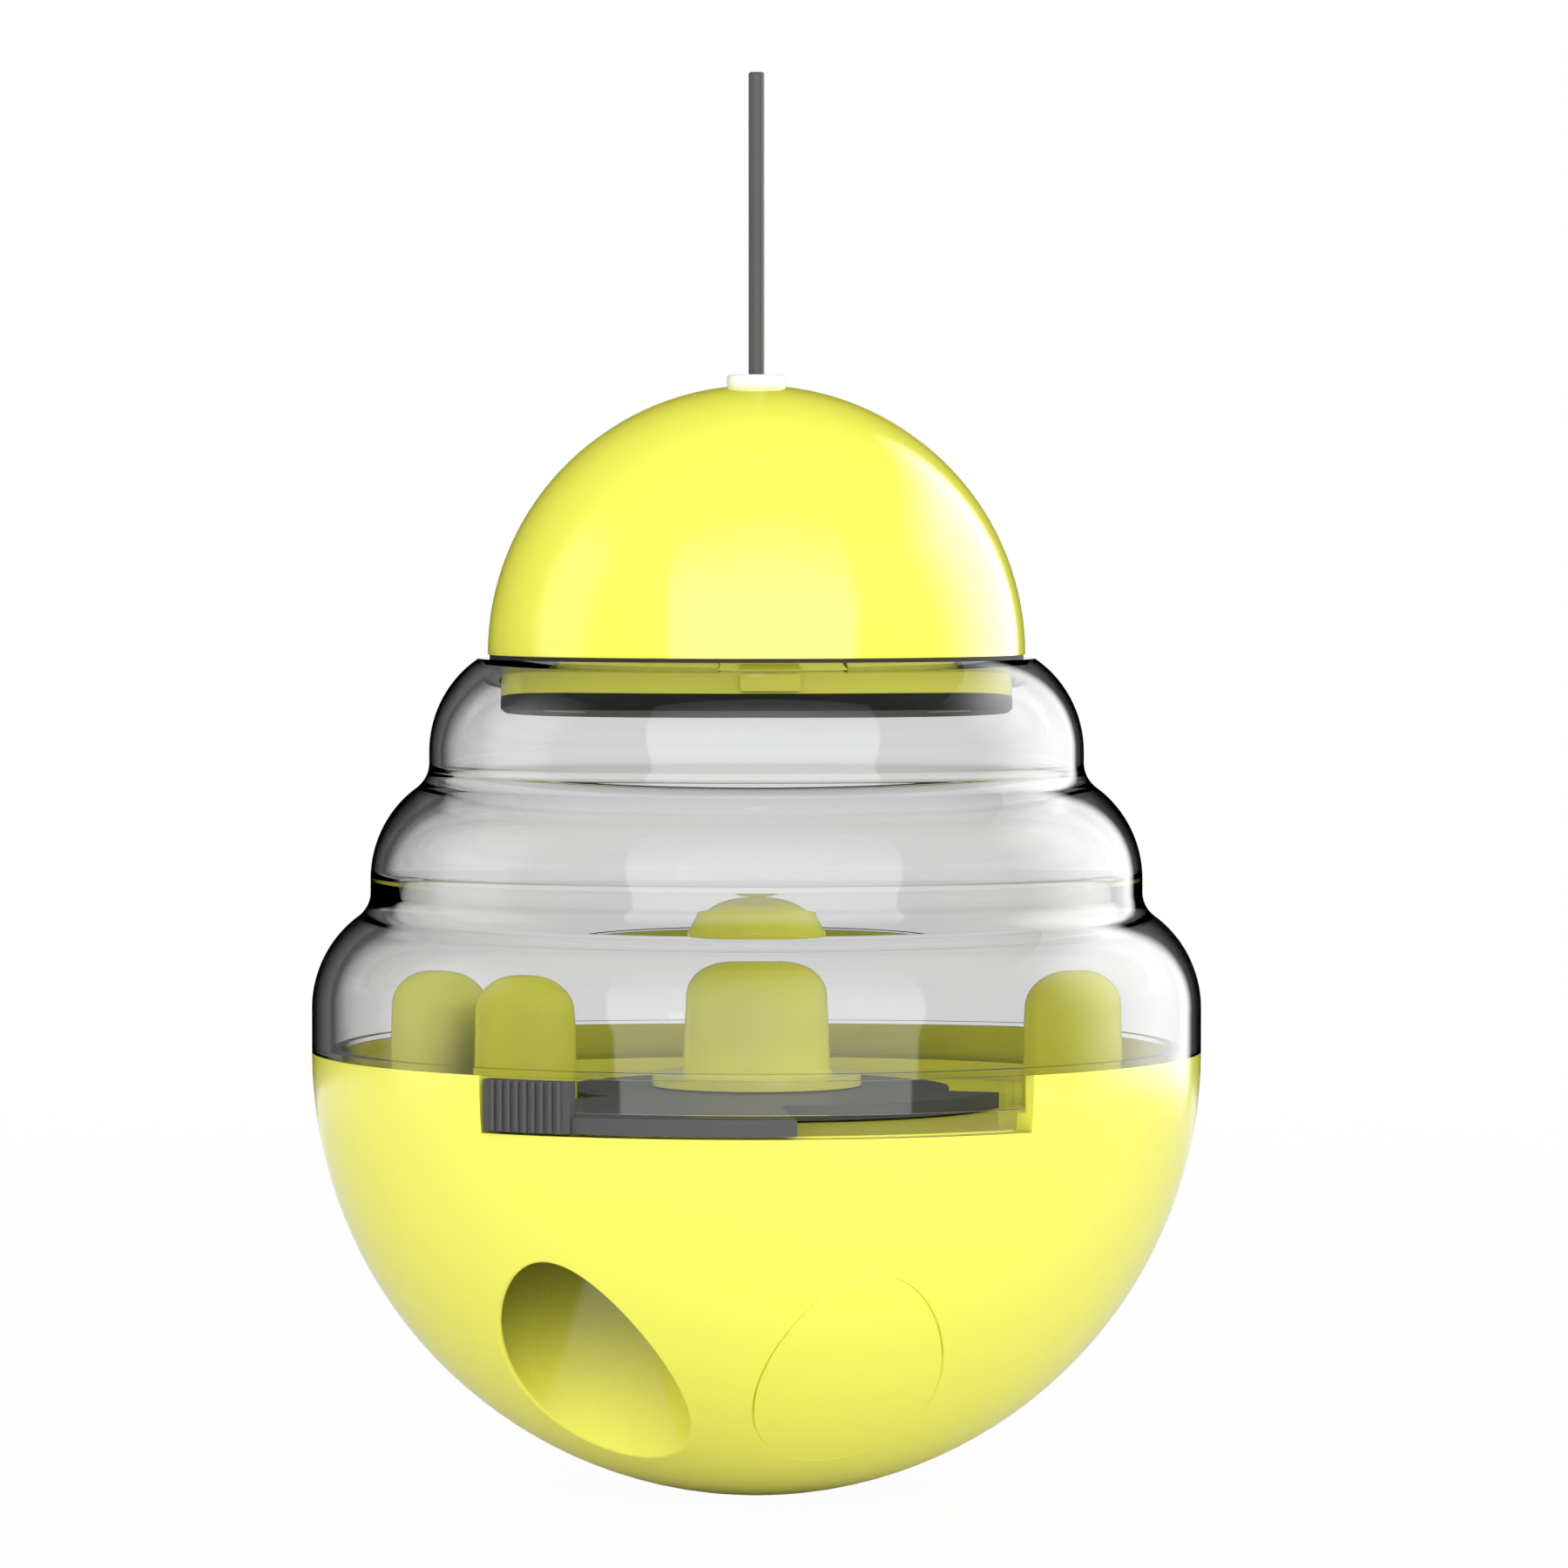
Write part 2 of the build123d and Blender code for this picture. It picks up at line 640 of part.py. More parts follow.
# Space inside the dome, less the screw bosses and the pad under its crown
with BuildPart() as dome_cavity:
    with BuildSketch(Plane.XZ):
        make_face(dome_half(dome_inner_radius, dome_base_z, quarter_turn))
    revolve(axis=Axis.Z)
    with BuildSketch(Plane.XY.offset(neck_top_z)):
        with PolarLocations(cap_screw_pitch, screw_count, front_angle(cap_screw_angle)):
            Circle(boss_radius)
    extrude(amount=dome_radius, mode=Mode.SUBTRACT)
    with BuildSketch(Plane.XY.offset(crown_pad_z)):
        Circle(crown_pad_radius)
    extrude(amount=dome_radius, mode=Mode.SUBTRACT)

# Dome of the cap
with BuildPart() as dome_cap:
    with BuildSketch(Plane.XZ):
        make_face(dome_half(dome_radius, dome_base_z, degrees(atan2(crown_z - dome_base_z, crown_radius))))
    revolve(axis=Axis.Z)
    add(dome_cavity.part, mode=Mode.SUBTRACT)
    with BuildSketch(Plane.XY.offset(neck_top_z)):
        with PolarLocations(cap_screw_pitch, screw_count, front_angle(cap_screw_angle)):
            Circle(pilot_radius)
    extrude(amount=screw_bite + screw_gap, mode=Mode.SUBTRACT)
    with BuildSketch(Plane.XY.offset(crown_pad_z)):
        Circle(socket_barrel_radius + press_gap)
    extrude(amount=dome_radius, mode=Mode.SUBTRACT)
dome_cap.part.label = "dome_cap"
export_step(dome_cap.part, "parts/dome_cap.step")

# Socket in the dome's crown
with BuildPart() as rod_socket:
    with BuildSketch(Plane.XY.offset(crown_z)):
        Circle(socket_flange_radius)
    extrude(amount=socket_flange_height)
    fillet(rod_socket.edges().group_by(Axis.Z)[-1], socket_edge_radius)
    with BuildSketch(Plane.XY.offset(crown_z)):
        Circle(socket_barrel_radius)
    extrude(amount=-socket_barrel_length)
    with BuildSketch(Plane.XY.offset(socket_bottom_z + socket_floor)):
        Circle(rod_root_radius + press_gap)
    extrude(amount=socket_barrel_length + socket_flange_height, mode=Mode.SUBTRACT)
rod_socket.part.label = "rod_socket"
export_step(rod_socket.part, "parts/rod_socket.step")

# Push-on clip that holds the socket, under the crown
with BuildPart() as socket_clip:
    with BuildSketch(Plane.XY.offset(crown_pad_z)):
        Circle(clip_radius)
        Circle(socket_barrel_radius + press_gap, mode=Mode.SUBTRACT)
    extrude(amount=-clip_thickness)
socket_clip.part.label = "socket_clip"
export_step(socket_clip.part, "parts/socket_clip.step")

# Straight rod, with a slimmer root in the socket
with BuildPart() as teaser_rod:
    with BuildSketch(Plane.XY.offset(socket_top_z)):
        Circle(rod_radius)
    extrude(amount=rod_free_length)
    chamfer(teaser_rod.edges().group_by(Axis.Z)[-1], rod_tip_chamfer)
    with BuildSketch(Plane.XY.offset(socket_top_z)):
        Circle(rod_root_radius)
    extrude(amount=socket_bottom_z + socket_floor - socket_top_z)
teaser_rod.part.label = "teaser_rod"
export_step(teaser_rod.part, "parts/teaser_rod.step")
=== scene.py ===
"""Looks of the weighted treat tumbler: finishes, studio, camera and the clear cover's fine mesh.

Lengths are in metres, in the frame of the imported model: +Z up, front towards -Y.
The clear cover's section alone is in millimetres. Colours are linear.
"""

from math import acos, asin, atan2, cos, dist, pi, radians, sin, sqrt

import bmesh
import bpy
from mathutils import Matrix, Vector


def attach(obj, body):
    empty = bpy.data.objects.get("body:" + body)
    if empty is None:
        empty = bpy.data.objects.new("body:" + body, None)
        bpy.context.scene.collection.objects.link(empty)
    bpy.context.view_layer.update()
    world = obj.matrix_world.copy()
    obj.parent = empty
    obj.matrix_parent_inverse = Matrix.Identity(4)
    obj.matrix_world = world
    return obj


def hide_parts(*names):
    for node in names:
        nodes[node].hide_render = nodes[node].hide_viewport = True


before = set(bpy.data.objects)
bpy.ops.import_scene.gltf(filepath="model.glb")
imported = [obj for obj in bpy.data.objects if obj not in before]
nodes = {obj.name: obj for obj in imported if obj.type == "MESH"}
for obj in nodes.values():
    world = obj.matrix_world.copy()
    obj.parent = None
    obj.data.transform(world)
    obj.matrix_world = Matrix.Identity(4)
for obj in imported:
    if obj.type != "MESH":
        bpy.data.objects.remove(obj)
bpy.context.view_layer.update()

# Camera, from the photograph's framing
IMAGE_SIDE = 1800
FOCAL_PIXELS = 8769
SENSOR_WIDTH = 36.0
AIM_RIGHT_PIXELS = 31.5
AIM_DOWN_PIXELS = 300
CAMERA_DISTANCE = 0.773
CAMERA_HEIGHT = 0.0981

# Point that the glowing cards face and the black flags stand round
MIDDLE = Vector((0, 0, 0.06))

# Outside of the clear cover, its skirt and its lip in millimetres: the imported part's own sizes
BOWL_RADIUS = 45.0
FOOT_RADIUS = 5.0
DOME_RADIUS = 27.2
TIER_WALL_HEIGHTS = (4.34, 1.3, 1.1)
SHOULDER_RADIUS = 11.6
VALLEY_RADIUS = 3.0
LIP_BRIM = 1.05
LIP_WIDTH = 1.0
LIP_THICKNESS = 1.4
SLOT_DEPTH = 1.0
SLOT_COUNT = 3
SLOT_ANGLE = 5.5
SLOT_SPAN_ANGLE = 26.5
SKIRT_INSET = 1.6
SKIRT_WALL = 1.4
SKIRT_DEPTH = 3.4

# Keeps the cover's foot and lip from lying face on face with the bowl's rim and the seal, in millimetres
CONTACT_GAP = 0.00004

# Inside of the clear cover in millimetres and degrees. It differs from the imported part's, for the look
LOW_WALL = 1.8
MIDDLE_WALL_END = 1.4
TOP_WALL_START = 1.15
TOP_WALL_END = 1.4
INNER_VALLEY_RADIUS = 2.2
BEAD_RADIUS = 3.3
BEAD_START_ANGLE = 56.0
BEAD_LEAN_ANGLE = 12.0
BEAD_CONE = 1.8
BEAD_FILLET_RADIUS = 2.5
LEDGE_HEIGHT = 0.6

# Fineness of the clear cover's mesh, and its units in a metre
ARC_STEPS = 28
SLOT_STEPS = 19
LIP_STEPS = 67
MERGE_DISTANCE = 0.0000005
SHARP_ANGLE = 30
PER_METRE = 1000

# Painted shade in a piece's own hollows: its reach, and how open the darkest places are and how dark
HOLLOW_REACH = 0.025
HOLLOW_SAMPLES = 8
HOLLOW_OPENNESS = 0.08
HOLLOW_DARKEST = 0.06

# Clear plastic: its tints, how edge on it is seen where its painted dark edge shade starts and is full,
# the share of light that its shadow lets through, and the roughness of its flow marks
CLEAR_TINT = (0.85, 0.855, 0.855)
EDGE_SHADE_TINT = (0.008, 0.008, 0.008)
EDGE_SHADE_BLEND = 0.5
EDGE_SHADE_START = 0.66
EDGE_SHADE_FULL = 0.88
SHADOW_PASS = 0.97
FLOW_GLOSS = (0.0, 0.02)

# Studio: soft fill, the grey that glints inside clear plastic show, and the weakest part of a glow
FILL = 0.72
GLINT_GREY = 0.22
GLOW_LEAST = 0.2

# Floor: its size, where it fades away, where its mirrored shade does, its grey and its share of white
FLOOR_RADIUS = 0.6
FLOOR_STEPS = 128
FLOOR_DROP = 0.0002
FLOOR_FADE = (0.25, 0.588)
SHADE_FADE = (0.05, 0.5)
PAPER_GREY = 0.74
PAPER_WHITE = 0.97

# Bounce counts are whole numbers: under this there was none, over it one or more
ANY_BOUNCE = 0.5


def reach(long_side, short_side):
    """The third side of a right-angled triangle."""
    return sqrt(long_side ** 2 - short_side ** 2)


# Cover levels and radii in millimetres. The bowl is a sphere cut off at a small flat foot
RIM_Z = reach(BOWL_RADIUS, FOOT_RADIUS)
COVER_FOOT_Z = RIM_Z + CONTACT_GAP
TIERS = range(len(TIER_WALL_HEIGHTS))
TIER_STEP = (BOWL_RADIUS - DOME_RADIUS) / len(TIERS)
TIER_RADII = [BOWL_RADIUS - tier * TIER_STEP for tier in TIERS]
VALLEY_REACH = SHOULDER_RADIUS + VALLEY_RADIUS
SHOULDER_RISE = reach(VALLEY_REACH, VALLEY_REACH - TIER_STEP)
SHOULDER_Z = [RIM_Z + sum(TIER_WALL_HEIGHTS[:tier + 1]) + tier * SHOULDER_RISE for tier in TIERS]
TIER_CENTRES = [(radius - SHOULDER_RADIUS, level) for radius, level in zip(TIER_RADII, SHOULDER_Z)]
LIP_RISE = reach(SHOULDER_RADIUS, DOME_RADIUS + LIP_BRIM - TIER_CENTRES[-1][0])
LIP_Z = SHOULDER_Z[-1] + LIP_RISE - CONTACT_GAP
LIP_BOTTOM_Z = LIP_Z - LIP_THICKNESS
MOUTH_RADIUS = DOME_RADIUS - LIP_WIDTH
SLOT_RADIUS = MOUTH_RADIUS + SLOT_DEPTH
SKIRT_RADIUS = BOWL_RADIUS - SKIRT_INSET
SKIRT_INNER_RADIUS = SKIRT_RADIUS - SKIRT_WALL
SKIRT_BOTTOM_Z = RIM_Z - SKIRT_DEPTH
LEDGE_Z = RIM_Z + LEDGE_HEIGHT


def add_node(tree, kind, **values):
    """A new node with its properties set by name."""
    node = tree.nodes.new(kind)
    for name, value in values.items():
        setattr(node, name, value)
    return node


def link(tree, source, target):
    """Joins an output socket to an input socket."""
    tree.links.new(source, target)


def grey(value):
    """A grey as a socket's colour."""
    return (value, value, value, 1)


def new_material(name):
    """A material with its Principled shader, as (material, tree, shader)."""
    material = bpy.data.materials.new(name)
    material.use_nodes = True
    tree = material.node_tree
    return material, tree, tree.nodes["Principled BSDF"]


def bare_material(name):
    """A material with nothing but its output, as (material, tree, surface socket)."""
    material = bpy.data.materials.new(name)
    material.use_nodes = True
    tree = material.node_tree
    tree.nodes.clear()
    return material, tree, add_node(tree, "ShaderNodeOutputMaterial").inputs["Surface"]


def noise(tree, scale, detail=2.0):
    """Noise over the object's own coordinates, as its value socket."""
    place = add_node(tree, "ShaderNodeTexCoord")
    grain = add_node(tree, "ShaderNodeTexNoise")
    grain.inputs["Scale"].default_value = scale
    grain.inputs["Detail"].default_value = detail
    link(tree, place.outputs["Object"], grain.inputs["Vector"])
    return grain.outputs["Fac"]


def ramp(tree, source, low, high):
    """Maps a value from 0..1 to low..high."""
    spread = add_node(tree, "ShaderNodeMapRange")
    spread.inputs["To Min"].default_value = low
    spread.inputs["To Max"].default_value = high
    link(tree, source, spread.inputs["Value"])
    return spread.outputs["Result"]


def swell(tree, source, start, end, low=0.0, high=1.0):
    """Maps a value smoothly from start..end to low..high."""
    spread = add_node(tree, "ShaderNodeMapRange", interpolation_type="SMOOTHSTEP")
    spread.inputs["From Min"].default_value = start
    spread.inputs["From Max"].default_value = end
    spread.inputs["To Min"].default_value = low
    spread.inputs["To Max"].default_value = high
    link(tree, source, spread.inputs["Value"])
    return spread.outputs["Result"]


def combine(tree, operation, first, second):
    """Arithmetic on two sockets or numbers."""
    node = add_node(tree, "ShaderNodeMath", operation=operation)
    for socket, value in zip(node.inputs, (first, second)):
        if isinstance(value, (int, float)):
            socket.default_value = value
        else:
            link(tree, value, socket)
    return node.outputs[0]


def tone(tree, source, dark, light):
    """Blends two colours by a value."""
    mix = add_node(tree, "ShaderNodeMix", data_type="RGBA")
    mix.inputs["A"].default_value = (*dark, 1)
    mix.inputs["B"].default_value = (*light, 1)
    link(tree, source, mix.inputs["Factor"])
    return mix.outputs["Result"]


def blend(tree, share, first, second):
    """Blends two shaders: the first at share 0, the second at 1."""
    mix = add_node(tree, "ShaderNodeMixShader")
    link(tree, share, mix.inputs["Fac"])
    link(tree, first.outputs[0], mix.inputs[1])
    link(tree, second.outputs[0], mix.inputs[2])
    return mix


def bump(tree, shader, source, height):
    """Raises the surface by a value times height."""
    relief = add_node(tree, "ShaderNodeBump")
    relief.inputs["Distance"].default_value = height
    link(tree, source, relief.inputs["Height"])
    link(tree, relief.outputs["Normal"], shader.inputs["Normal"])


def painted_hollow_shade(tree, open_share):
    """Painted shade as a factor: 1 in the open, falling towards black deep in the piece's own hollows.
    """
    shade = add_node(tree, "ShaderNodeAmbientOcclusion", samples=HOLLOW_SAMPLES, only_local=True)
    shade.inputs["Distance"].default_value = HOLLOW_REACH
    return swell(tree, shade.outputs["AO"], HOLLOW_OPENNESS, open_share, low=HOLLOW_DARKEST)


def moulded(name, dark, light, gloss, grain_scale, grain_height, shine=0.5, open_share=0.7):
    """Injection-moulded plastic: slight mottling, uneven gloss, a fine skin, and painted shade that
    darkens its colour in hollows.
    """
    material, tree, shader = new_material(name)
    shader.inputs["Specular IOR Level"].default_value = shine
    colour = add_node(tree, "ShaderNodeVectorMath", operation="SCALE")
    link(tree, tone(tree, noise(tree, scale=60, detail=3), dark, light), colour.inputs[0])
    # Painted shade: the mottled colour is darkened in the piece's own hollows
    link(tree, painted_hollow_shade(tree, open_share), colour.inputs["Scale"])
    link(tree, colour.outputs[0], shader.inputs["Base Color"])
    link(tree, ramp(tree, noise(tree, scale=140, detail=4), *gloss), shader.inputs["Roughness"])
    bump(tree, shader, noise(tree, grain_scale), grain_height)
    return material


def clear_plastic(name):
    """Clear moulded plastic, with painted shade that darkens it where it is seen edge on, and faint flow
    marks.
    """
    material, tree, shader = new_material(name)
    shader.inputs["Transmission Weight"].default_value = 1.0
    link(tree, ramp(tree, noise(tree, scale=90, detail=3), *FLOW_GLOSS), shader.inputs["Roughness"])
    # Painted shade: the colour turns near black where the outside is seen edge on
    facing = add_node(tree, "ShaderNodeLayerWeight")
    facing.inputs["Blend"].default_value = EDGE_SHADE_BLEND
    side = add_node(tree, "ShaderNodeNewGeometry")
    outside = combine(tree, "SUBTRACT", 1.0, side.outputs["Backfacing"])
    edge_on = swell(tree, facing.outputs["Facing"], EDGE_SHADE_START, EDGE_SHADE_FULL)
    painted_edge_shade = combine(tree, "MULTIPLY", edge_on, outside)
    link(tree, tone(tree, painted_edge_shade, CLEAR_TINT, EDGE_SHADE_TINT), shader.inputs["Base Color"])
    passing = add_node(tree, "ShaderNodeBsdfTransparent")
    passing.inputs["Color"].default_value = grey(SHADOW_PASS)
    path = add_node(tree, "ShaderNodeLightPath")
    whole = blend(tree, path.outputs["Is Shadow Ray"], shader, passing)
    link(tree, whole.outputs[0], tree.nodes["Material Output"].inputs["Surface"])
    return material


def metal(name, dark, light, gloss):
    """Plated steel with a fine uneven polish."""
    material, tree, shader = new_material(name)
    shader.inputs["Metallic"].default_value = 1.0
    link(tree, tone(tree, noise(tree, scale=300, detail=4), dark, light), shader.inputs["Base Color"])
    link(tree, ramp(tree, noise(tree, scale=900, detail=3), *gloss), shader.inputs["Roughness"])
    bump(tree, shader, noise(tree, scale=4000), height=0.000004)
    return material


def yellow(name, open_share):
    """The toy's glossy yellow plastic, with painted shade in its hollows as deep as the open share sets.
    """
    return moulded(
        name,
        dark=(0.91, 0.89, 0.1),
        light=(0.94, 0.925, 0.112),
        gloss=(0.1, 0.16),
        grain_scale=1800,
        grain_height=0.000002,
        shine=0.8,
        open_share=open_share,
    )


YELLOW = yellow("yellow_plastic", open_share=0.7)
# The same yellow for the bowl, with stronger painted shade in its hollows
DEEP_SHADE_YELLOW = yellow("yellow_plastic_deep_shade", open_share=0.9)
GREY = moulded(
    "grey_plastic",
    dark=(0.074, 0.074, 0.075),
    light=(0.088, 0.088, 0.09),
    gloss=(0.4, 0.52),
    grain_scale=2600,
    grain_height=0.00001,
    shine=0.2,
)
BLACK = moulded(
    "black_plastic",
    dark=(0.011, 0.011, 0.011),
    light=(0.016, 0.016, 0.016),
    gloss=(0.3, 0.42),
    grain_scale=2600,
    grain_height=0.00001,
    shine=0.08,
)
RUBBER = moulded(
    "seal_rubber",
    dark=(0.02, 0.019, 0.016),
    light=(0.03, 0.028, 0.024),
    gloss=(0.6, 0.75),
    grain_scale=3000,
    grain_height=0.00001,
)
WHITE = moulded(
    "white_plastic",
    dark=(0.86, 0.86, 0.85),
    light=(0.9, 0.9, 0.89),
    gloss=(0.3, 0.4),
    grain_scale=2600,
    grain_height=0.000004,
)
ROD = moulded(
    "rod_paint",
    dark=(0.068, 0.068, 0.068),
    light=(0.08, 0.08, 0.08),
    gloss=(0.35, 0.5),
    grain_scale=5000,
    grain_height=0.000004,
    shine=0.3,
)
CLEAR = clear_plastic("clear_plastic")
ZINC = metal("zinc_steel", dark=(0.5, 0.5, 0.51), light=(0.62, 0.62, 0.62), gloss=(0.22, 0.36))
IRON = metal("weight_steel", dark=(0.34, 0.34, 0.35), light=(0.45, 0.45, 0.45), gloss=(0.35, 0.55))

FINISHES = {
    "lower_bowl": DEEP_SHADE_YELLOW,
    "outlet_blank": YELLOW,
    "feed_tray": YELLOW,
    "center_peg": YELLOW,
    "dome_cap": YELLOW,
    "cap_neck": YELLOW,
    "gate_slider": GREY,
    "weight_clamp": GREY,
    "cap_base": BLACK,
    "cap_seal": RUBBER,
    "rod_socket": WHITE,
    "teaser_rod": ROD,
    "clear_cover": CLEAR,
    "counterweight": IRON,
    "tray_screws": ZINC,
    "hub_screw": ZINC,
    "clamp_screw": ZINC,
    "cap_screws": ZINC,
    "socket_clip": ZINC,
}


def finish_nodes():
    """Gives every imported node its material."""
    for name, part in nodes.items():
        part.data.materials.clear()
        part.data.materials.append(FINISHES[name])


def add_mesh(name, points, faces, material):
    """A new object of one mesh, with its material, in the scene."""
    mesh = bpy.data.meshes.new(name)
    mesh.from_pydata(points, [], faces)
    mesh.materials.append(material)
    thing = bpy.data.objects.new(name, mesh)
    bpy.context.scene.collection.objects.link(thing)
    return thing


def polar(centre, radius, turn):
    """The point at a distance and an angle in radians from a centre."""
    return centre[0] + radius * cos(turn), centre[1] + radius * sin(turn)


def arc(centre, radius, start, end):
    """Points of an arc in the half plane beside the axis."""
    turns = [start + (end - start) * step / ARC_STEPS for step in range(ARC_STEPS + 1)]
    return [polar(centre, radius, turn) for turn in turns]


def growing_arc(centre, start, end, thin, full):
    """A shoulder's inside, where the wall grows smoothly from thin to full."""
    points = []
    for step in range(ARC_STEPS + 1):
        share = step / ARC_STEPS
        grown = share * share * (3 - 2 * share)
        bulge = SHOULDER_RADIUS - thin - (full - thin) * grown
        points.append(polar(centre, bulge, start + (end - start) * share))
    return points


def outer_line():
    """The outside of the three tiers, from the foot up to the lip."""
    points = [(BOWL_RADIUS, COVER_FOOT_Z)]
    turn = acos(1 - TIER_STEP / VALLEY_REACH)
    for centre in TIER_CENTRES[:-1]:
        points += arc(centre, SHOULDER_RADIUS, 0, turn)
        bend_centre = polar(centre, VALLEY_REACH, turn)
        points += arc(bend_centre, VALLEY_RADIUS, pi + turn, pi)[1:]
    highest = TIER_CENTRES[-1]
    points += arc(highest, SHOULDER_RADIUS, 0, asin((LIP_Z - highest[1]) / SHOULDER_RADIUS))
    return points


def bead_line(first, middle):
    """The bead under the lower valley, from its first point up to the second tier's inside.

    It is an arc, a short cone that leans inwards and a fillet. With its points come its last angle
    about the second tier's middle and the wall's thickness there.
    """
    start, lean = radians(BEAD_START_ANGLE), radians(BEAD_LEAN_ANGLE)
    points = arc(polar(first, BEAD_RADIUS, start), BEAD_RADIUS, pi + start, pi - lean)
    cone_top = polar(points[-1], BEAD_CONE, pi / 2 - lean)
    fillet_centre = polar(cone_top, BEAD_FILLET_RADIUS, pi - lean)
    end = atan2(fillet_centre[1] - middle[1], fillet_centre[0] - middle[0])
    points += arc(fillet_centre, BEAD_FILLET_RADIUS, -lean, end)
    wall = SHOULDER_RADIUS - BEAD_FILLET_RADIUS - dist(fillet_centre, middle)
    return points, end, wall


def inner_line():
    """The inside of the three tiers: a bead at the lower valley bends what shows there downwards."""
    lowest, middle, highest = TIER_CENTRES
    points = [(BOWL_RADIUS - LOW_WALL, LEDGE_Z)]
    points += arc(lowest, SHOULDER_RADIUS - LOW_WALL, 0, radians(BEAD_START_ANGLE))
    bead, begin, thin = bead_line(points[-1], middle)
    points += bead[1:]
    bend_radius = TIER_RADII[-1] - TOP_WALL_START + INNER_VALLEY_RADIUS
    bend_reach = SHOULDER_RADIUS - MIDDLE_WALL_END + INNER_VALLEY_RADIUS
    turn = acos((bend_radius - middle[0]) / bend_reach)
    points += growing_arc(middle, begin, turn, thin, MIDDLE_WALL_END)[1:]
    points += arc(polar(middle, bend_reach, turn), INNER_VALLEY_RADIUS, pi + turn, pi)[1:]
    end = asin((LIP_BOTTOM_Z - highest[1]) / (SHOULDER_RADIUS - TOP_WALL_END))
    points += growing_arc(highest, 0, end, TOP_WALL_START, TOP_WALL_END)
    return points


def cover_section(mouth):
    """The clear cover's whole section, with its lip's inner radius given."""
    section = outer_line()
    section += [(SLOT_RADIUS, LIP_Z), (mouth, LIP_Z)]
    section += [(mouth, LIP_BOTTOM_Z), (SLOT_RADIUS, LIP_BOTTOM_Z)]
    section += inner_line()[::-1]
    section += [(SKIRT_INNER_RADIUS, LEDGE_Z), (SKIRT_INNER_RADIUS, SKIRT_BOTTOM_Z)]
    section += [(SKIRT_RADIUS, SKIRT_BOTTOM_Z), (SKIRT_RADIUS, COVER_FOOT_Z)]
    return section


def cover_rings():
    """Turns from the front and the lip's radius at each: the bayonet slots open the lip."""
    pitch = 360 / SLOT_COUNT
    rings = []
    for slot in range(SLOT_COUNT):
        opened = SLOT_ANGLE - SLOT_SPAN_ANGLE / 2 + slot * pitch
        closed = opened + SLOT_SPAN_ANGLE
        for step in range(SLOT_STEPS + 1):
            rings.append((opened + SLOT_SPAN_ANGLE * step / SLOT_STEPS, SLOT_RADIUS))
        for step in range(LIP_STEPS + 1):
            rings.append((closed + (pitch - SLOT_SPAN_ANGLE) * step / LIP_STEPS, MOUTH_RADIUS))
    return rings


def add_cover():
    """The clear cover as a fine lathe, so that nothing facets where it refracts."""
    sections = {mouth: cover_section(mouth) for mouth in (SLOT_RADIUS, MOUTH_RADIUS)}
    count = len(sections[MOUTH_RADIUS])
    rings = cover_rings()
    points = []
    faces = []
    for ring, (angle, mouth) in enumerate(rings):
        across = sin(radians(angle)) / PER_METRE
        along = -cos(radians(angle)) / PER_METRE
        points += [(r * across, r * along, z / PER_METRE) for r, z in sections[mouth]]
        here = ring * count
        there = (ring + 1) % len(rings) * count
        for corner in range(count):
            after = (corner + 1) % count
            faces.append((here + corner, there + corner, there + after, here + after))
    cover = add_mesh("clear_cover_fine", points, faces, CLEAR)
    mesh = cover.data
    work = bmesh.new()
    work.from_mesh(mesh)
    bmesh.ops.remove_doubles(work, verts=work.verts, dist=MERGE_DISTANCE)
    bmesh.ops.recalc_face_normals(work, faces=work.faces)
    work.to_mesh(mesh)
    work.free()
    mesh.shade_smooth()
    mesh.set_sharp_from_angle(angle=radians(SHARP_ANGLE))
    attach(cover, "cover")
    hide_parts("clear_cover")


def add_camera():
    """The photograph's camera."""
    lens = bpy.data.cameras.new("camera")
    lens.sensor_width = SENSOR_WIDTH
    lens.lens = FOCAL_PIXELS / IMAGE_SIDE * SENSOR_WIDTH
    camera = bpy.data.objects.new("camera", lens)
    camera.location = (0, -CAMERA_DISTANCE, CAMERA_HEIGHT)
    aim = Vector((AIM_RIGHT_PIXELS / FOCAL_PIXELS, 1, -AIM_DOWN_PIXELS / FOCAL_PIXELS))
    camera.rotation_euler = aim.to_track_quat("-Z", "Y").to_euler()
    bpy.context.scene.collection.objects.link(camera)
    bpy.context.scene.camera = camera


def inner_glints(tree):
    """1 for rays that come out of the clear plastic after a reflection."""
    path = add_node(tree, "ShaderNodeLightPath")
    mirrored = combine(tree, "GREATER_THAN", path.outputs["Glossy Depth"], ANY_BOUNCE)
    return combine(tree, "MULTIPLY", mirrored, path.outputs["Is Transmission Ray"])


def shown_rays(tree):
    """1 for rays that show the background before any bounce: straight, mirrored or refracted."""
    path = add_node(tree, "ShaderNodeLightPath")
    mirrored = combine(tree, "MAXIMUM", path.outputs["Is Camera Ray"], path.outputs["Is Glossy Ray"])
    shown = combine(tree, "MAXIMUM", mirrored, path.outputs["Is Transmission Ray"])
    unbounced = combine(tree, "LESS_THAN", path.outputs["Diffuse Depth"], ANY_BOUNCE)
    return combine(tree, "MULTIPLY", shown, unbounced)


def backdrop(tree, colour, strength=1.0):
    """A plain background shader."""
    plain = add_node(tree, "ShaderNodeBackground")
    plain.inputs["Color"].default_value = colour
    plain.inputs["Strength"].default_value = strength
    return plain


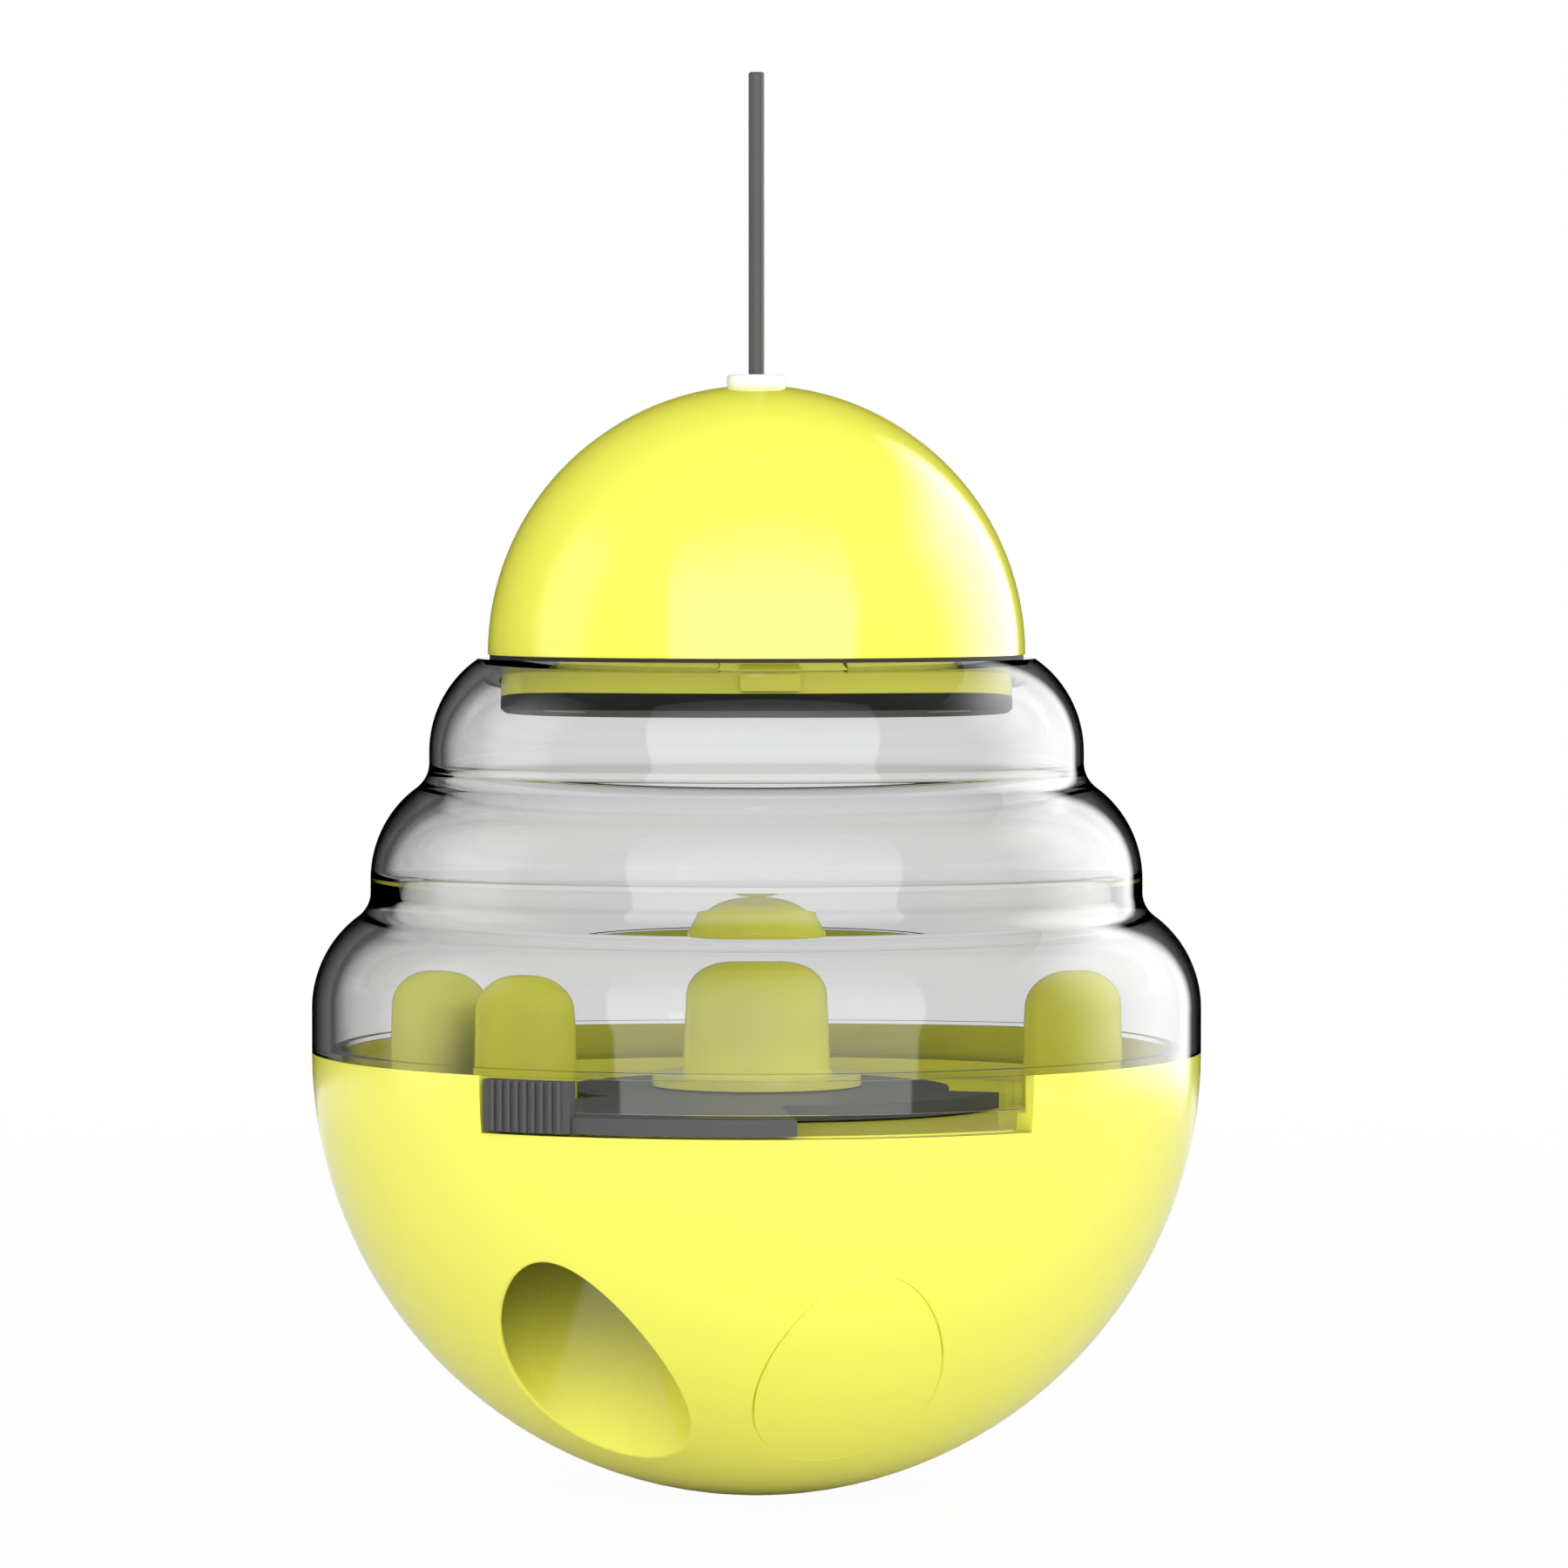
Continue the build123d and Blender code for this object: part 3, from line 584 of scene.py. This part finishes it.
def add_world():
    """White where it shows, a soft grey fill for the light, and dim in glints inside clear plastic."""
    world = bpy.data.worlds.new("studio")
    world.use_nodes = True
    tree = world.node_tree
    tree.nodes.clear()
    out = add_node(tree, "ShaderNodeOutputWorld")
    shown = blend(tree, shown_rays(tree), backdrop(tree, grey(1), FILL), backdrop(tree, grey(1)))
    studio = blend(tree, inner_glints(tree), shown, backdrop(tree, grey(GLINT_GREY)))
    link(tree, studio.outputs[0], out.inputs["Surface"])
    bpy.context.scene.world = world


def direction(azimuth, elevation):
    """A direction from the toy. Azimuth 0 is the front, counted towards +X."""
    turn, rise = radians(azimuth), radians(elevation)
    return Vector((sin(turn) * cos(rise), -cos(turn) * cos(rise), sin(rise)))


def show_to(card, diffuse, glossy):
    """Hides a card from all rays but the ones that light by it or mirror it."""
    card.visible_camera = False
    card.visible_transmission = False
    card.visible_shadow = False
    card.visible_diffuse = diffuse
    card.visible_glossy = glossy


def glow_material(name, half, tall, strength, sides, levels):
    """A glow that fades towards the card's sides and its top."""
    material, tree, surface = bare_material(name)
    place = add_node(tree, "ShaderNodeTexCoord")
    parts = add_node(tree, "ShaderNodeSeparateXYZ")
    link(tree, place.outputs["Object"], parts.inputs[0])
    start, full, fade, end = [side * half for side in sides]
    faded, bright = [level * tall for level in levels]
    across = swell(tree, parts.outputs["X"], start, full, high=strength)
    fading = swell(tree, parts.outputs["X"], end, fade)
    upward = swell(tree, parts.outputs["Y"], faded, bright, low=GLOW_LEAST)
    wide = combine(tree, "MULTIPLY", across, fading)
    glow = add_node(tree, "ShaderNodeEmission")
    link(tree, combine(tree, "MULTIPLY", wide, upward), glow.inputs["Strength"])
    link(tree, glow.outputs[0], surface)
    return material


def add_glow(name, place, size, strength, sides, levels, lights=True, shines=True):
    """A glowing card that lights, shines in gloss, or does both.

    Place is the azimuth, the elevation and the distance from the toy's middle.
    Sides are the shares of its half width where the glow starts, is full, fades and ends.
    Levels are the shares of its half height where it has faded and where it is full.
    """
    azimuth, elevation, distance = place
    half, tall = [side / 2 for side in size]
    corners = [(-half, -tall, 0), (half, -tall, 0), (half, tall, 0), (-half, tall, 0)]
    material = glow_material(name, half, tall, strength, sides, levels)
    card = add_mesh(name, corners, [(0, 1, 2, 3)], material)
    away = direction(azimuth, elevation)
    card.location = MIDDLE + away * distance
    card.rotation_euler = (-away).to_track_quat("-Z", "Y").to_euler()
    show_to(card, diffuse=lights, glossy=shines)


def add_flag(name, start, end, low, high, distance):
    """A black card that only shows in gloss. Angles are azimuths and elevations from the toy."""
    across, up = 48, 8
    points = []
    for row in range(up + 1):
        for step in range(across + 1):
            away = direction(start + (end - start) * step / across, low + (high - low) * row / up)
            points.append(MIDDLE + away * distance)
    faces = []
    for row in range(up):
        for step in range(across):
            corner = row * (across + 1) + step
            faces.append((corner, corner + 1, corner + across + 2, corner + across + 1))
    material, _, shader = new_material(name)
    shader.inputs["Base Color"].default_value = grey(0)
    shader.inputs["Specular IOR Level"].default_value = 0
    flag = add_mesh(name, points, faces, material)
    show_to(flag, diffuse=False, glossy=True)


def floor_paper():
    """Pale paper that shows white, keeps the shadow faintly and fades away at its edge."""
    material, tree, surface = bare_material("floor_paper")
    paper = add_node(tree, "ShaderNodeBsdfDiffuse")
    paper.inputs["Color"].default_value = grey(PAPER_GREY)
    place = add_node(tree, "ShaderNodeTexCoord")
    length = add_node(tree, "ShaderNodeVectorMath", operation="LENGTH")
    link(tree, place.outputs["Object"], length.inputs[0])
    away = length.outputs["Value"]
    path = add_node(tree, "ShaderNodeLightPath")
    near = swell(tree, away, *SHADE_FADE, high=PAPER_WHITE)
    straight = combine(tree, "MULTIPLY", path.outputs["Is Camera Ray"], PAPER_WHITE)
    share = combine(tree, "MULTIPLY", shown_rays(tree), combine(tree, "MAXIMUM", near, straight))
    lit = blend(tree, share, paper, add_node(tree, "ShaderNodeEmission"))
    gone = add_node(tree, "ShaderNodeBsdfTransparent")
    whole = blend(tree, swell(tree, away, *FLOOR_FADE), lit, gone)
    link(tree, whole.outputs[0], surface)
    return material


def add_floor():
    """A pale floor that keeps the shadow and fades into the white background."""
    turns = [2 * pi * step / FLOOR_STEPS for step in range(FLOOR_STEPS)]
    ring = [(FLOOR_RADIUS * cos(turn), FLOOR_RADIUS * sin(turn), -FLOOR_DROP) for turn in turns]
    floor = add_mesh("floor", ring, [list(range(FLOOR_STEPS))], floor_paper())


finish_nodes()
add_cover()
add_camera()
add_world()
add_glow(
    "front_glow",
    place=(2.5, 14, 1.2),
    size=(2.05, 2.5),
    strength=2.7,
    sides=(-1, -0.95, 0.95, 1),
    levels=(0.95, 0.1),
)
add_glow(
    "right_shine",
    place=(118, 12, 1.1),
    size=(1.7, 1.5),
    strength=4.3,
    sides=(-1, 0.0, 0.6, 0.9),
    levels=(1, 0.5),
    lights=False,
)
add_glow(
    "right_glow",
    place=(80, 12, 1.1),
    size=(1.4, 1.5),
    strength=1.8,
    sides=(-1, -0.3, 0.3, 1),
    levels=(1, 0.5),
    shines=False,
)
add_glow(
    "left_glow",
    place=(-92, 10, 1.1),
    size=(0.9, 1.5),
    strength=1.3,
    sides=(-1, -0.3, 0.3, 1),
    levels=(1, 0.5),
)
add_flag("side_flag", start=-173, end=173, low=-6, high=88, distance=2.5)
add_flag("back_flag", start=173, end=187, low=9, high=88, distance=2.5)
add_floor()
bpy.context.scene.view_settings.view_transform = "Standard"
